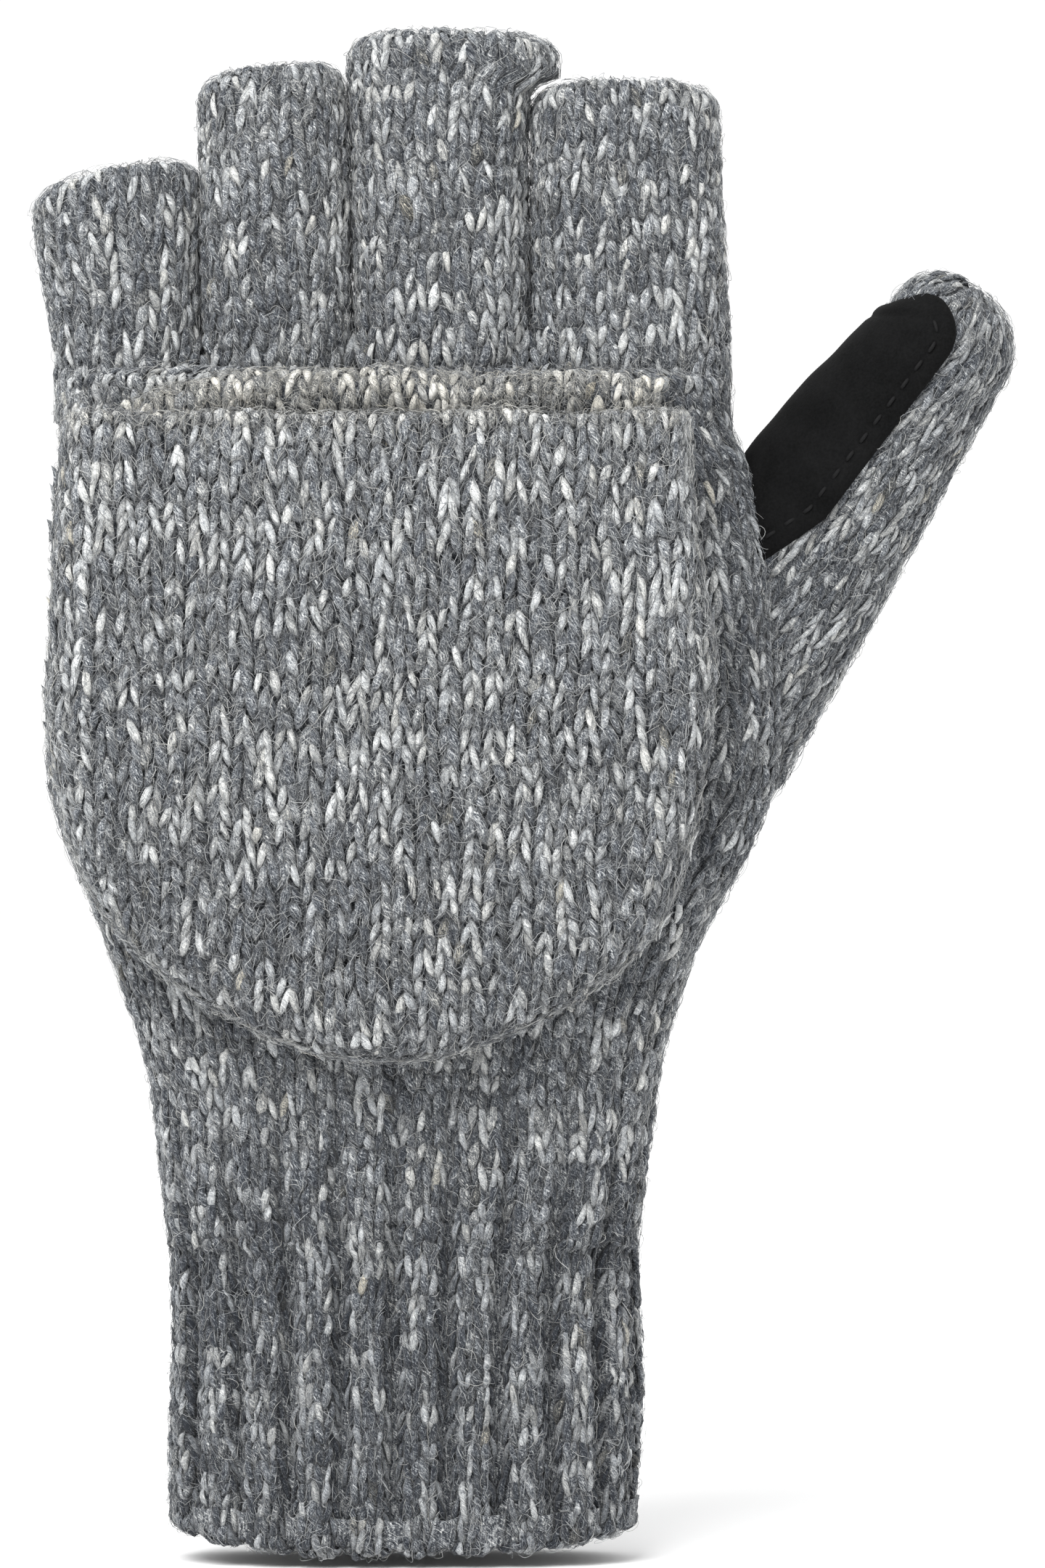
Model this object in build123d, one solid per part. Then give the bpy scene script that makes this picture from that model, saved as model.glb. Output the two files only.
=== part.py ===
"""Left-hand convertible flip-top mitten: half-finger glove, closed thumb and a flip cap.

Frame: origin at the centre of the wrist opening, +Z towards the fingertips, +X towards the
thumb, -Y out of the back of the hand and +Y out of the palm. All lengths in millimetres.
The mitten keeps the rounded shape it has when a hand fills it. The flip cap is folded back.
"""
from build123d import *
import math
import os

# ---------------------------------------------------------------- driving dimensions
WALL = 2.6            # thickness of one layer of the knitted fabric
GAP = 0.3             # clearance between pieces that move apart
HAND_DEPTH = 32.0     # back of the hand to palm
WELT_HEIGHT = 4.0     # cast-on edge of the cuff
CUFF_TOP = 46.0       # where the ribbed cuff meets the hand
KNUCKLE = 179.0       # where the fingers part

# Outline of cuff and hand: (height, little-finger edge, thumb-side edge, depth)
CUFF = [
    (0.0, -34.2, 34.2, HAND_DEPTH),
    (WELT_HEIGHT, -35.3, 35.3, HAND_DEPTH),
    (CUFF_TOP, -35.3, 35.3, HAND_DEPTH),
]
HAND = [
    (CUFF_TOP, -35.3, 35.3, HAND_DEPTH),
    (63.0, -37.3, 37.5, HAND_DEPTH),
    (77.0, -39.5, 39.6, HAND_DEPTH),
    (92.0, -44.8, 44.6, HAND_DEPTH),
    (108.0, -51.6, 53.2, HAND_DEPTH),
    (122.0, -53.8, 57.2, HAND_DEPTH),
    (146.0, -53.0, 56.0, HAND_DEPTH),
    (160.0, -51.6, 52.8, 31.0),
    (169.0, -51.8, 49.9, 29.0),
    (KNUCKLE, -52.8, 49.3, 27.0),
]

# Finger stalls: (height, little-finger edge, thumb-side edge, depth)
FINGERS = {
    "little": [(KNUCKLE, -52.7, -30.8, 19.0), (195.0, -55.0, -31.0, 19.0), (208.0, -56.1, -31.2, 19.5)],
    "ring": [
        (KNUCKLE, -30.3, -7.9, 20.0), (210.5, -30.5, -8.5, 20.2), (213.0, -31.5, -8.7, 20.5),
        (223.6, -30.6, -9.3, 20.5),
    ],
    "middle": [
        (KNUCKLE, -7.4, 18.5, 21.0), (205.0, -7.9, 18.7, 21.0), (223.6, -8.7, 18.8, 21.5),
        (225.6, -8.8, 22.6, 21.5), (229.6, -8.4, 21.4, 21.5),
    ],
    "index": [
        (KNUCKLE, 19.0, 49.2, 21.0), (205.0, 19.2, 47.9, 21.0), (216.0, 19.5, 47.4, 21.0),
        (221.6, 19.9, 46.0, 21.0),
    ],
}
BIND_OFF = 3.2        # height of the cast-off edge at the open end of each finger

# Thumb: a tapering tube with a round tip, leaning out of the hand and set towards the palm
THUMB_LEAN = 34.0     # degrees from upright, towards +X
THUMB_TIP = (80.4, 2.7, 181.0)
THUMB_TIP_RADIUS = 11.4
THUMB_LENGTH = 76.0   # centre of the tip's ball to the root inside the hand
THUMB_ROOT = (18.4, 9.9)   # half width and half depth at the root

# Grip patch on the side of the thumb that faces the index finger
PATCH_THICKNESS = 1.2
PATCH_EDGE = 1.9      # the patch's edge at the tip, from the thumb's middle line
PATCH_TILT = 3.2      # degrees that the edge turns in towards the root
PATCH_INNER = -12.6   # where its top rounds over on the inner side of the thumb
PATCH_TOP = 7.2       # above the centre of the tip's ball
PATCH_BOTTOM = -56.0  # its lower end, inside the hand's edge
PATCH_CORNER = 7.0    # radius of its two top corners
SEAM_INSET = 2.6      # topstitching, in from the patch's edge
STITCH = (0.7, 0.5, 2.3)
STITCH_PITCH = 3.4
SEAM_LENGTH = 30.0

# Flip cap: a flat pouch, its mouth up, hanging down the back of the hand
CAP_BACK_FACE = -HAND_DEPTH / 2 - GAP       # the layer that lies on the hand
CAP_PARTING = -22.3                         # where the two halves of the pouch meet
CAP_OUTER_FACE = -28.3                      # the layer that faces out
CAP_MOUTH = 171.0
CAP_EDGE_RADIUS = 4.4
RIM_HEIGHT = 4.0
CAP_OUTLINE = [
    (-51.0, 160.0), (-52.0, 140.0), (-52.0, 120.0), (-44.2, 96.1), (-24.0, 80.1), (-2.0, 74.3),
    (20.2, 80.5), (38.7, 95.5), (46.2, 128.0), (44.6, 146.0), (43.0, 160.0),
]
CAP_MOUTH_EDGES = (-50.0, 42.3)             # the pouch's two sides at its mouth
HINGE_SEAM = (-44.0, 41.0, 171.3, 177.3)    # sides, bottom and top of the joining row
HINGE_SEAM_FACE = -19.2

WEB_WIDTH = 7.0
WEB_HEIGHT = 5.0


# ---------------------------------------------------------------- shared shapes
def oval(station, inset=0.0):
    """Flat-sided oval section of a hand, cuff or finger at one height."""
    height, left, right, depth = station
    section = SlotOverall(right - left - 2 * inset, depth - 2 * inset)
    return Plane.XY.offset(height) * Pos((left + right) / 2, 0) * section


def solid_of(stations, inset=0.0):
    """Closed body through a list of sections."""
    return loft([oval(station, inset) for station in stations], ruled=True)


def width_at(stations, height):
    """The section at any height, between the two listed ones around it."""
    for low, high in zip(stations, stations[1:]):
        if low[0] <= height <= high[0]:
            share = (height - low[0]) / (high[0] - low[0])
            return tuple(a + share * (b - a) for a, b in zip(low, high))
    raise ValueError(height)


def stretch_of(stations, bottom, top):
    """The listed sections from one height to another, with new ones at both ends."""
    inside = [station for station in stations if bottom < station[0] < top]
    return [width_at(stations, bottom), *inside, width_at(stations, top)]


def tube(stations, wall=WALL):
    """Open-ended knitted tube."""
    return solid_of(stations) - solid_of(stations, wall)


def save(name, shape):
    """Write one sub-part."""
    shape.label = name
    export_step(shape, os.path.join("parts", name + ".step"))


# ---------------------------------------------------------------- thumb
thumb_axis = Vector(math.sin(math.radians(THUMB_LEAN)), 0, math.cos(math.radians(THUMB_LEAN)))
thumb_across = Vector(math.cos(math.radians(THUMB_LEAN)), 0, -math.sin(math.radians(THUMB_LEAN)))
thumb_tip = Vector(*THUMB_TIP)


def thumb_plane(along):
    """Plane across the thumb, at a distance along it from the centre of the tip's ball."""
    return Plane(origin=thumb_tip + thumb_axis * along, x_dir=thumb_across, z_dir=thumb_axis)


def thumb_body(grow=0.0):
    """Solid thumb, its surface moved out by grow."""
    root = Ellipse(THUMB_ROOT[0] + grow, THUMB_ROOT[1] + grow)
    tip = Circle(THUMB_TIP_RADIUS + grow)
    shaft = loft([thumb_plane(-THUMB_LENGTH) * root, thumb_plane(0) * tip], ruled=True)
    return shaft + Pos(*THUMB_TIP) * Sphere(THUMB_TIP_RADIUS + grow)


def hand_with_clearance():
    """The hand's outer body, grown by the clearance."""
    return solid_of([(h, left - GAP, right + GAP, depth + 2 * GAP) for h, left, right, depth in HAND])


def thumb_stall():
    """Closed thumb tube, cut where it meets the side of the hand."""
    return thumb_body() - thumb_body(-WALL) - hand_with_clearance()


def patch_line(along):
    """Place across the thumb of the patch's edge, at a distance along the thumb."""
    return PATCH_EDGE + along * math.tan(math.radians(PATCH_TILT))


def thumb_patch():
    """Grip patch wrapped round the inner side of the thumb, its top rounded like a tongue."""
    corners = [
        (patch_line(PATCH_BOTTOM), PATCH_BOTTOM),
        (patch_line(PATCH_TOP), PATCH_TOP),
        (PATCH_INNER, PATCH_TOP),
        (-THUMB_ROOT[0] - 3, PATCH_BOTTOM),
    ]
    outline = Polygon(*corners, align=None)
    outline = fillet(outline.vertices().group_by(Axis.Y)[-1], PATCH_CORNER)
    front = Plane(origin=thumb_tip - Vector(0, 40, 0), x_dir=thumb_across, z_dir=(0, -1, 0))
    reach = extrude(front * outline, amount=-80)
    skin = thumb_body(PATCH_THICKNESS) - thumb_body()
    return (skin & reach) - hand_with_clearance()


def thumb_patch_stitching():
    """Two rows of topstitches, on the back and on the palm side of the thumb."""
    stitches = []
    count = int(SEAM_LENGTH / STITCH_PITCH)
    for number in range(count):
        along = PATCH_TOP - PATCH_CORNER - number * STITCH_PITCH
        half_depth = THUMB_TIP_RADIUS + (THUMB_ROOT[1] - THUMB_TIP_RADIUS) * max(0.0, -along) / THUMB_LENGTH
        for side in (-1, 1):
            out = side * (half_depth + PATCH_THICKNESS + STITCH[1] / 2 + 0.15)
            place = thumb_plane(along) * Pos(patch_line(along) - SEAM_INSET, out, 0) * Rot(0, PATCH_TILT, 0)
            stitches.append(place * Box(*STITCH))
    return Compound(children=stitches)


# ---------------------------------------------------------------- cuff and hand
def cuff():
    """Ribbed cuff above its cast-on edge."""
    return tube(stretch_of(CUFF, WELT_HEIGHT, CUFF_TOP))


def welt():
    """Cast-on edge round the wrist opening."""
    return tube(stretch_of(CUFF, 0.0, WELT_HEIGHT))


def finger_passage(name):
    """Room for one finger through the knuckle end of the hand."""
    base = FINGERS[name][0]
    low = (KNUCKLE - 3 * WALL, *base[1:])
    high = (KNUCKLE + 1, *base[1:])
    return solid_of([low, high], WALL)


def hand_shell():
    """Hand with its knuckle end closed between the fingers and open into the thumb."""
    inner_top = KNUCKLE - WALL
    shell = solid_of(HAND) - solid_of(stretch_of(HAND, CUFF_TOP, inner_top), WALL)
    for name in FINGERS:
        shell -= finger_passage(name)
    return shell - thumb_body(-WALL)


def finger_stall(name):
    """Half finger, open at both ends."""
    stations = FINGERS[name]
    return tube(stretch_of(stations, KNUCKLE, stations[-1][0] - BIND_OFF))


def finger_bind_off(name):
    """Cast-off edge of a half finger."""
    stations = FINGERS[name]
    top = stations[-1][0]
    return tube(stretch_of(stations, top - BIND_OFF, top), WALL)


def crotch_web(first, second):
    """Picked-up stitches between two fingers: a small wedge on the back and one on the palm."""
    middle = (FINGERS[first][0][2] + FINGERS[second][0][1]) / 2
    depth = min(FINGERS[first][0][3], FINGERS[second][0][3])
    web = Pos(middle, 0, KNUCKLE + WEB_HEIGHT / 2) * Box(WEB_WIDTH, depth - 3, WEB_HEIGHT)
    web -= Pos(middle, 0, KNUCKLE + WEB_HEIGHT / 2) * Box(WEB_WIDTH + 2, depth * 0.42, WEB_HEIGHT + 2)
    for name in (first, second):
        clear = [(h, left - GAP, right + GAP, d + 2 * GAP) for h, left, right, d in FINGERS[name][:2]]
        web -= solid_of(clear)
    return web


# ---------------------------------------------------------------- flip cap
def cap_face(mouth, inset=0.0):
    """Outline of the flip cap in its own plane, up to the height of its mouth."""
    left, right = CAP_MOUTH_EDGES
    points = [(left, mouth), *CAP_OUTLINE, (right, mouth)]
    moved = [(left + inset, mouth)]
    for before, point, after in zip(points, points[1:], points[2:]):
        run = math.hypot(after[0] - before[0], after[1] - before[1])
        across = ((before[1] - after[1]) / run, (after[0] - before[0]) / run)
        moved.append((point[0] + inset * across[0], point[1] + inset * across[1]))
    moved.append((right - inset, mouth))
    return make_face([Spline(*moved), Line(moved[-1], moved[0])])


def cap_slab(face, near, far):
    """Slab of the cap's outline between two depths, far being further out of the hand."""
    plane = Plane(origin=(0, near, 0), x_dir=(1, 0, 0), z_dir=(0, -1, 0))
    return extrude(plane * face, amount=near - far)


def cap_half(hand_side):
    """One half of the pouch: a layer and its share of the side wall, open at the mouth."""
    face = cap_face(CAP_MOUTH)
    hollow = cap_face(CAP_MOUTH + WALL, WALL)
    if hand_side:
        slab = cap_slab(face, CAP_BACK_FACE, CAP_PARTING + GAP / 2)
        room = cap_slab(hollow, CAP_BACK_FACE - WALL, CAP_PARTING - 1)
        return slab - room
    slab = cap_slab(face, CAP_PARTING - GAP / 2, CAP_OUTER_FACE)
    outside = slab.faces().sort_by(Axis.Y)[0]
    edges = outside.edges().sort_by(Axis.Z)[:-1]
    slab = fillet(edges, CAP_EDGE_RADIUS)
    room = cap_slab(hollow, CAP_PARTING + 1, CAP_OUTER_FACE + WALL)
    return slab - room


def above(shape, height):
    """The part of a shape above one height."""
    return shape & (Pos(0, 0, height + 200) * Box(400, 400, 400))


def below(shape, height):
    """The part of a shape below one height."""
    return shape & (Pos(0, 0, height - 200) * Box(400, 400, 400))


def hinge_seam():
    """Rounded ridge of picked-up stitches that the cap hangs from."""
    left, right, bottom, top = HINGE_SEAM
    width = right - left
    height = top - bottom
    back = -10.0
    ridge = Pos((left + right) / 2, (HINGE_SEAM_FACE + back) / 2, (bottom + top) / 2) * Box(
        width, back - HINGE_SEAM_FACE, height
    )
    outer_edges = ridge.faces().sort_by(Axis.Y)[0].edges()
    return fillet(outer_edges, height * 0.4) - solid_of(HAND)


# ---------------------------------------------------------------- all sub-parts
def main():
    """Build and write every sub-part."""
    os.makedirs("parts", exist_ok=True)
    save("cuff_welt", welt())
    save("ribbed_cuff", cuff())
    save("hand_shell", hand_shell())
    save("cap_hinge_seam", hinge_seam())
    names = list(FINGERS)
    for first, second in zip(names, names[1:]):
        save(f"crotch_web_{first}_{second}", crotch_web(first, second))
    for name in names:
        save(f"{name}_stall", finger_stall(name))
        save(f"{name}_bind_off", finger_bind_off(name))
    save("thumb_stall", thumb_stall())
    save("thumb_patch", thumb_patch())
    save("thumb_patch_stitching", thumb_patch_stitching())
    save("cap_back_layer", cap_half(True))
    front = cap_half(False)
    save("cap_front_layer", below(front, CAP_MOUTH - RIM_HEIGHT))
    save("cap_mouth_rim", above(front, CAP_MOUTH - RIM_HEIGHT))


main()
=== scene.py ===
"""Looks of the flip-top mitten. Every knitted piece is built stitch by stitch on the CAD frame."""
import math

import bpy
import numpy as np
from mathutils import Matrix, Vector


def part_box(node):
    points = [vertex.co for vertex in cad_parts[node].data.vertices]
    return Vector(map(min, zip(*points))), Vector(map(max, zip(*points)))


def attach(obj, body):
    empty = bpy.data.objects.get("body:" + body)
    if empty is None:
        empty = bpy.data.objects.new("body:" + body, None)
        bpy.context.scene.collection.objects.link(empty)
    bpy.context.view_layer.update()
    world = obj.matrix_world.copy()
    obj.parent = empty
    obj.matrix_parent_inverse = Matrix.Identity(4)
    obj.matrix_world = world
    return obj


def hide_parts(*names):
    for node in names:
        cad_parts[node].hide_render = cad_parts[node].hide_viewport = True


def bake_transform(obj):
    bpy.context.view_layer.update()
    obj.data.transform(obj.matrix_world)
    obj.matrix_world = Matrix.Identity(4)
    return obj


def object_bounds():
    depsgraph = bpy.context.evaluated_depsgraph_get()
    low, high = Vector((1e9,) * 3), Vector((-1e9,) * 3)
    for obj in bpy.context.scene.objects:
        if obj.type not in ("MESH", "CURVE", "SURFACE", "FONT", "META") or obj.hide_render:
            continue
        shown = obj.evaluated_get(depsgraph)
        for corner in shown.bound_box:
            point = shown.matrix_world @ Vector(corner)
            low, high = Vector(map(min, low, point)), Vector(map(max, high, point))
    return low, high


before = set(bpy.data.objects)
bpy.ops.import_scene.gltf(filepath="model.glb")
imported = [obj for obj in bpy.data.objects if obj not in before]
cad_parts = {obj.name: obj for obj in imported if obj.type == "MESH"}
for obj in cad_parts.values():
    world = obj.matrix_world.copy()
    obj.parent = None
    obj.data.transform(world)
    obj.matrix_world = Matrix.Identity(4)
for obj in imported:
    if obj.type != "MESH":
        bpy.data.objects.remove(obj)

CAD_BOX = [list(corner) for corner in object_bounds()]

# ------------------------------------------------------------------ sizes, in millimetres
MM = 0.001
WALL = 2.6               # one layer of fabric
WALE = 3.4               # width of a stitch
COURSE = 2.8             # height of a stitch
LEG_WIDTH = 0.80         # half width of one leg of a stitch
LEG_DEPTH = 0.48         # half thickness of one leg
LEG_SUNK = 1.35          # how deep the ends of a leg lie under the surface
LEG_RISE = 1.1           # how far its middle rises from there
LEG_GAP = 0.06           # where it starts beside the middle of its wale, in stitches
LEG_START = -0.28        # and how far above the line of its course, so this is below it
LEG_REACH = 1.7          # how far it runs up from there
MOST_TUFTS = 12500       # in one piece
ROWS_WANDER = 0.22       # how far rows and wales stray from straight, in stitches
WALL_OUTSIDE = 0.8       # depth of the matted fabric behind the legs
WALL_LOOKS = [0.24, 1.0, 0.1]    # its tone, streaks and warmth
LIP = 1.5                # radius of a rolled edge
LIP_INSIDE = 5.0         # how far a rolled edge goes on down the inside


def corners(node):
    """Lowest and highest corner of a CAD node, in millimetres."""
    low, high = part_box(node)
    return np.array(low) / MM, np.array(high) / MM


KNUCKLE = corners("hand_shell")[1][2]
CUFF_TOP = corners("hand_shell")[0][2]
CUFF_HALF_WIDTH, CUFF_HALF_DEPTH, _ = corners("ribbed_cuff")[1]
CAP_LOW, CAP_HIGH = corners("cap_front_layer")
CAP_MOUTH = corners("cap_mouth_rim")[1][2]
CAP_BACK_Y = corners("cap_back_layer")[1][1]
SEAM_LOW, SEAM_HIGH = corners("cap_hinge_seam")

# Outline of the hand: (height, little-finger edge, thumb-side edge, half depth)
HAND = [
    (CUFF_TOP, -35.3, 35.3, 16.0), (63.0, -37.3, 37.5, 16.0), (77.0, -39.5, 39.6, 16.0),
    (92.0, -44.8, 44.6, 16.0), (108.0, -51.6, 53.2, 16.0), (122.0, -53.8, 57.2, 16.0),
    (146.0, -53.0, 56.0, 16.0), (160.0, -51.6, 52.8, 15.5), (169.0, -51.8, 49.9, 14.5),
    (KNUCKLE - 3.0, -52.5, 49.2, 13.8),
]
FINGERS = {
    "little": [(KNUCKLE, -52.7, -30.6, 9.5), (195.0, -55.0, -30.8, 9.5), (208.0, -56.1, -31.0, 9.75)],
    "ring": [
        (KNUCKLE, -30.4, -7.7, 10.0), (194.0, -30.6, -8.0, 10.0), (209.0, -30.9, -8.3, 10.1),
        (223.6, -31.4, -9.1, 10.25),
    ],
    "middle": [
        (KNUCKLE, -7.5, 18.7, 10.5), (196.0, -7.8, 18.8, 10.5), (212.0, -8.2, 18.9, 10.6),
        (229.0, -8.8, 18.9, 10.75),
    ],
    "index": [
        (KNUCKLE, 18.8, 49.2, 10.5), (193.0, 18.9, 48.5, 10.5), (207.0, 19.0, 47.8, 10.5),
        (221.3, 19.3, 47.6, 10.5),
    ],
}
# How far a finger's edge flares to the thumb side near its top, how steeply the edge climbs to that
# side, and the number of wales round it
FINGER_LEANS_OVER = {"little": 0.0, "ring": 0.0, "middle": 4.2, "index": 0.0}
FINGER_SLANT = {"little": 0.2, "ring": 0.12, "middle": 0.0, "index": -0.01}
FINGER_WALES = {"little": 19, "ring": 20, "middle": 22, "index": 24}
HAND_WALES = 66
THUMB_WALES = 29

THUMB_LEAN = math.radians(34.0)
THUMB_TIP = np.array([80.4, 2.7, 181.0])
THUMB_TIP_RADIUS = 11.4
THUMB_LENGTH = 76.0
THUMB_ROOT = (18.4, 9.9)       # half width and half depth where it starts
TIP_SLOPE = 1.7                # how much of the tip's inner side slopes away
THUMB_BEND = (-66.0, -38.0)    # two places along the thumb, from the tip's centre

PATCH_THICKNESS = 1.2
PATCH_EDGE = 1.9         # how far its edges lie past the thumb's middle line
PATCH_TILT = math.radians(3.2)
PATCH_TOP = 6.2          # places along the thumb are counted from the centre of its tip
PATCH_DROOP = 4.6        # how far the top edge dips on the inner side of the thumb
PATCH_BOTTOM = -56.0
PATCH_HEEL = -31.0       # below here the patch narrows towards its lower end
PATCH_HEEL_SLOPE = 0.33
PATCH_CORNER = 7.0
SEAM_INSET = 2.6         # of the patch's topstitching, from its edge
THREAD_LENGTH = 2.3
THREAD_PITCH = 3.4

CAP_OUTLINE = [
    (-50.0, 171.0), (-51.0, 160.0), (-52.0, 140.0), (-52.0, 120.0), (-44.2, 96.1), (-24.0, 80.1),
    (-2.0, 74.3), (20.2, 80.5), (38.7, 95.5), (46.2, 128.0), (44.6, 146.0), (43.0, 160.0), (42.3, 171.0),
]
CAP_MIDDLE_Y = -22.3
CAP_ROUND = 6.0          # radius of the pouch's edge
RIM_HEIGHT = 4.0         # of the thick edge round the pouch's mouth


# ------------------------------------------------------------------ small helpers
def unit(vectors):
    """Vectors scaled to length one."""
    size = np.linalg.norm(vectors, axis=-1, keepdims=True)
    return vectors / np.maximum(size, 1e-9)


def dice(name):
    """Random numbers that are the same on every run, with a different row of them for each name."""
    return np.random.default_rng([ord(letter) for letter in name])


def curve_through(points, samples):
    """Smooth curve through a few points: cubic pieces with Catmull-Rom slopes."""
    points = np.array(points, float)
    steps = np.linspace(0, len(points) - 1, samples)
    index = np.minimum(steps.astype(int), len(points) - 2)
    t = (steps - index)[:, None]
    padded = np.vstack([2 * points[0] - points[1], points, 2 * points[-1] - points[-2]])
    p0, p1, p2, p3 = (padded[index + k] for k in range(4))
    straight = 2 * p1 + (p2 - p0) * t
    bend = (2 * p0 - 5 * p1 + 4 * p2 - p3) * t**2 + (3 * p1 - p0 - 3 * p2 + p3) * t**3
    return (straight + bend) / 2


def run_along(line):
    """Distance along a line of points, at each of them."""
    return np.concatenate([[0], np.cumsum(np.linalg.norm(np.diff(line, axis=0), axis=1))])


def eased(share):
    """A share from 0 to 1, with a soft start and end."""
    return share**2 * (3 - 2 * share)


def arch(t, foot):
    """Height of an arch over t from 0 to 1. foot says how far up its sides it starts."""
    return np.sin(np.pi * (foot + (1 - 2 * foot) * t))


def waves(x, z, seed, reach):
    """Gentle random swell between about -1 and 1, with bumps about reach millimetres across."""
    draw = dice(seed)
    total = np.zeros(np.broadcast(x, z).shape)
    for _ in range(6):
        angle, phase = draw.uniform(0, 2 * np.pi, 2)
        pitch = reach * draw.uniform(0.7, 1.6)
        total += np.sin((x * np.cos(angle) + z * np.sin(angle)) * 2 * np.pi / pitch + phase)
    return total / 3.5


def between(table, row, column):
    """Values of a table at places between its rows and columns."""
    r = np.minimum(row.astype(int), table.shape[0] - 2)
    c = np.minimum(column.astype(int), table.shape[1] - 2)
    fr, fc = (row - r)[..., None], (column - c)[..., None]
    low = table[r, c] * (1 - fc) + table[r, c + 1] * fc
    high = table[r + 1, c] * (1 - fc) + table[r + 1, c + 1] * fc
    return low * (1 - fr) + high * fr


def oval_ring(half_x, half_y, power, columns):
    """Superellipse, evenly stepped, from the back of the hand towards the thumb side and round."""
    angle = np.linspace(-np.pi / 2, 1.5 * np.pi, 1441)
    x = half_x * np.sign(np.cos(angle)) * np.abs(np.cos(angle)) ** (2 / power)
    y = half_y * np.sign(np.sin(angle)) * np.abs(np.sin(angle)) ** (2 / power)
    run = run_along(np.stack([x, y], axis=1))
    stops = np.linspace(0, run[-1], columns, endpoint=False)
    return np.interp(stops, run, x), np.interp(stops, run, y)


# ------------------------------------------------------------------ surfaces that stitches lie on
class Tube:
    """A knitted tube. Wales run up it and courses go round it."""

    def __init__(self, rings, wales, seed, swell=0.35, relief=None):
        """rings: (origin, x direction, y direction, half x, half y, power) from the first course on."""
        self.wales = wales
        self.columns = 6 * wales
        rows = []
        for origin, x_dir, y_dir, half_x, half_y, power in rings:
            x, y = oval_ring(max(half_x, 0.2), max(half_y, 0.2), power, self.columns)
            rows.append(np.array(origin) + x[:, None] * np.array(x_dir) + y[:, None] * np.array(y_dir))
        grid = np.array(rows)
        steps = np.linalg.norm(np.diff(grid, axis=0), axis=2).mean(axis=1)
        self.run = np.concatenate([[0], np.cumsum(steps)])
        round_it = np.roll(grid, -1, axis=1) - np.roll(grid, 1, axis=1)
        out = unit(np.cross(round_it, np.gradient(grid, axis=0)))
        bump = waves(grid[..., 0] + grid[..., 1], grid[..., 2], seed, 38.0) * swell
        if relief:
            bump = bump + relief(np.arange(self.columns) / 6.0, grid)
        grid = grid + out * bump[..., None]
        self.grid = np.concatenate([grid, grid[:, :1]], axis=1)

    def point(self, u, v):
        """Place of wale u, course v."""
        column = np.mod(u / self.wales, 1.0) * self.columns
        row = np.interp(v * COURSE, self.run, np.arange(len(self.run)))
        return between(self.grid, row, column)

    def courses(self):
        """How many courses fit on the tube."""
        return self.run[-1] / COURSE


class CapOutline:
    """Outline of the flip cap, and how far inside it any place is."""

    STEP = 0.5

    def __init__(self):
        self.line = curve_through(CAP_OUTLINE, 500)
        ahead = np.gradient(self.line, axis=0)
        self.inward = unit(np.stack([-ahead[:, 1], ahead[:, 0]], axis=1))
        up = 30.0
        ends = self.line[[0, -1]] + np.array([0.0, up])
        line = np.vstack([ends[0], self.line, ends[1]])
        self.low = np.array([CAP_LOW[0] - 12.0, CAP_LOW[2] - 12.0])
        size = ((np.array([CAP_HIGH[0] + 12.0, CAP_MOUTH + 14.0]) - self.low) / self.STEP).astype(int)
        x, z = np.meshgrid(np.arange(size[0]), np.arange(size[1]), indexing="ij")
        spots = np.stack([x.ravel(), z.ravel()], axis=1) * self.STEP + self.low
        starts, runs = line[:-1], np.diff(line, axis=0)
        length2 = (runs**2).sum(1)
        table = np.empty((len(spots), 3))
        for first in range(0, len(spots), 4000):
            part = spots[first:first + 4000, None]
            along = np.clip(((part - starts) * runs).sum(2) / length2, 0, 1)
            gap = part - starts - along[..., None] * runs
            far2 = (gap**2).sum(2)
            best = far2.argmin(1)
            away = gap[np.arange(len(best)), best]
            inner = np.stack([-runs[best, 1], runs[best, 0]], axis=1)
            sign = np.where((away * inner).sum(1) >= 0, 1.0, -1.0)
            far = np.sqrt(far2[np.arange(len(best)), best])
            table[first:first + 4000, 0] = sign * far
            table[first:first + 4000, 1:] = np.where(far[:, None] > 0.05, away * sign[:, None], inner)
        self.table = table.reshape(size[0], size[1], 3)

    def inside(self, x, z):
        """Distance in from the outline, and the direction inwards."""
        across = np.clip((x - self.low[0]) / self.STEP, 0, self.table.shape[0] - 1.001)
        up = np.clip((z - self.low[1]) / self.STEP, 0, self.table.shape[1] - 1.001)
        found = between(self.table, across, up)
        return found[..., 0], unit(found[..., 1:])

    def moved_in(self, inset):
        """The outline moved inwards, as a left and a right branch that both start at the mouth."""
        line = self.line + self.inward * inset
        tip = line[:, 1].argmin()
        return line[:tip + 1], line[:tip - 1:-1]


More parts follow.
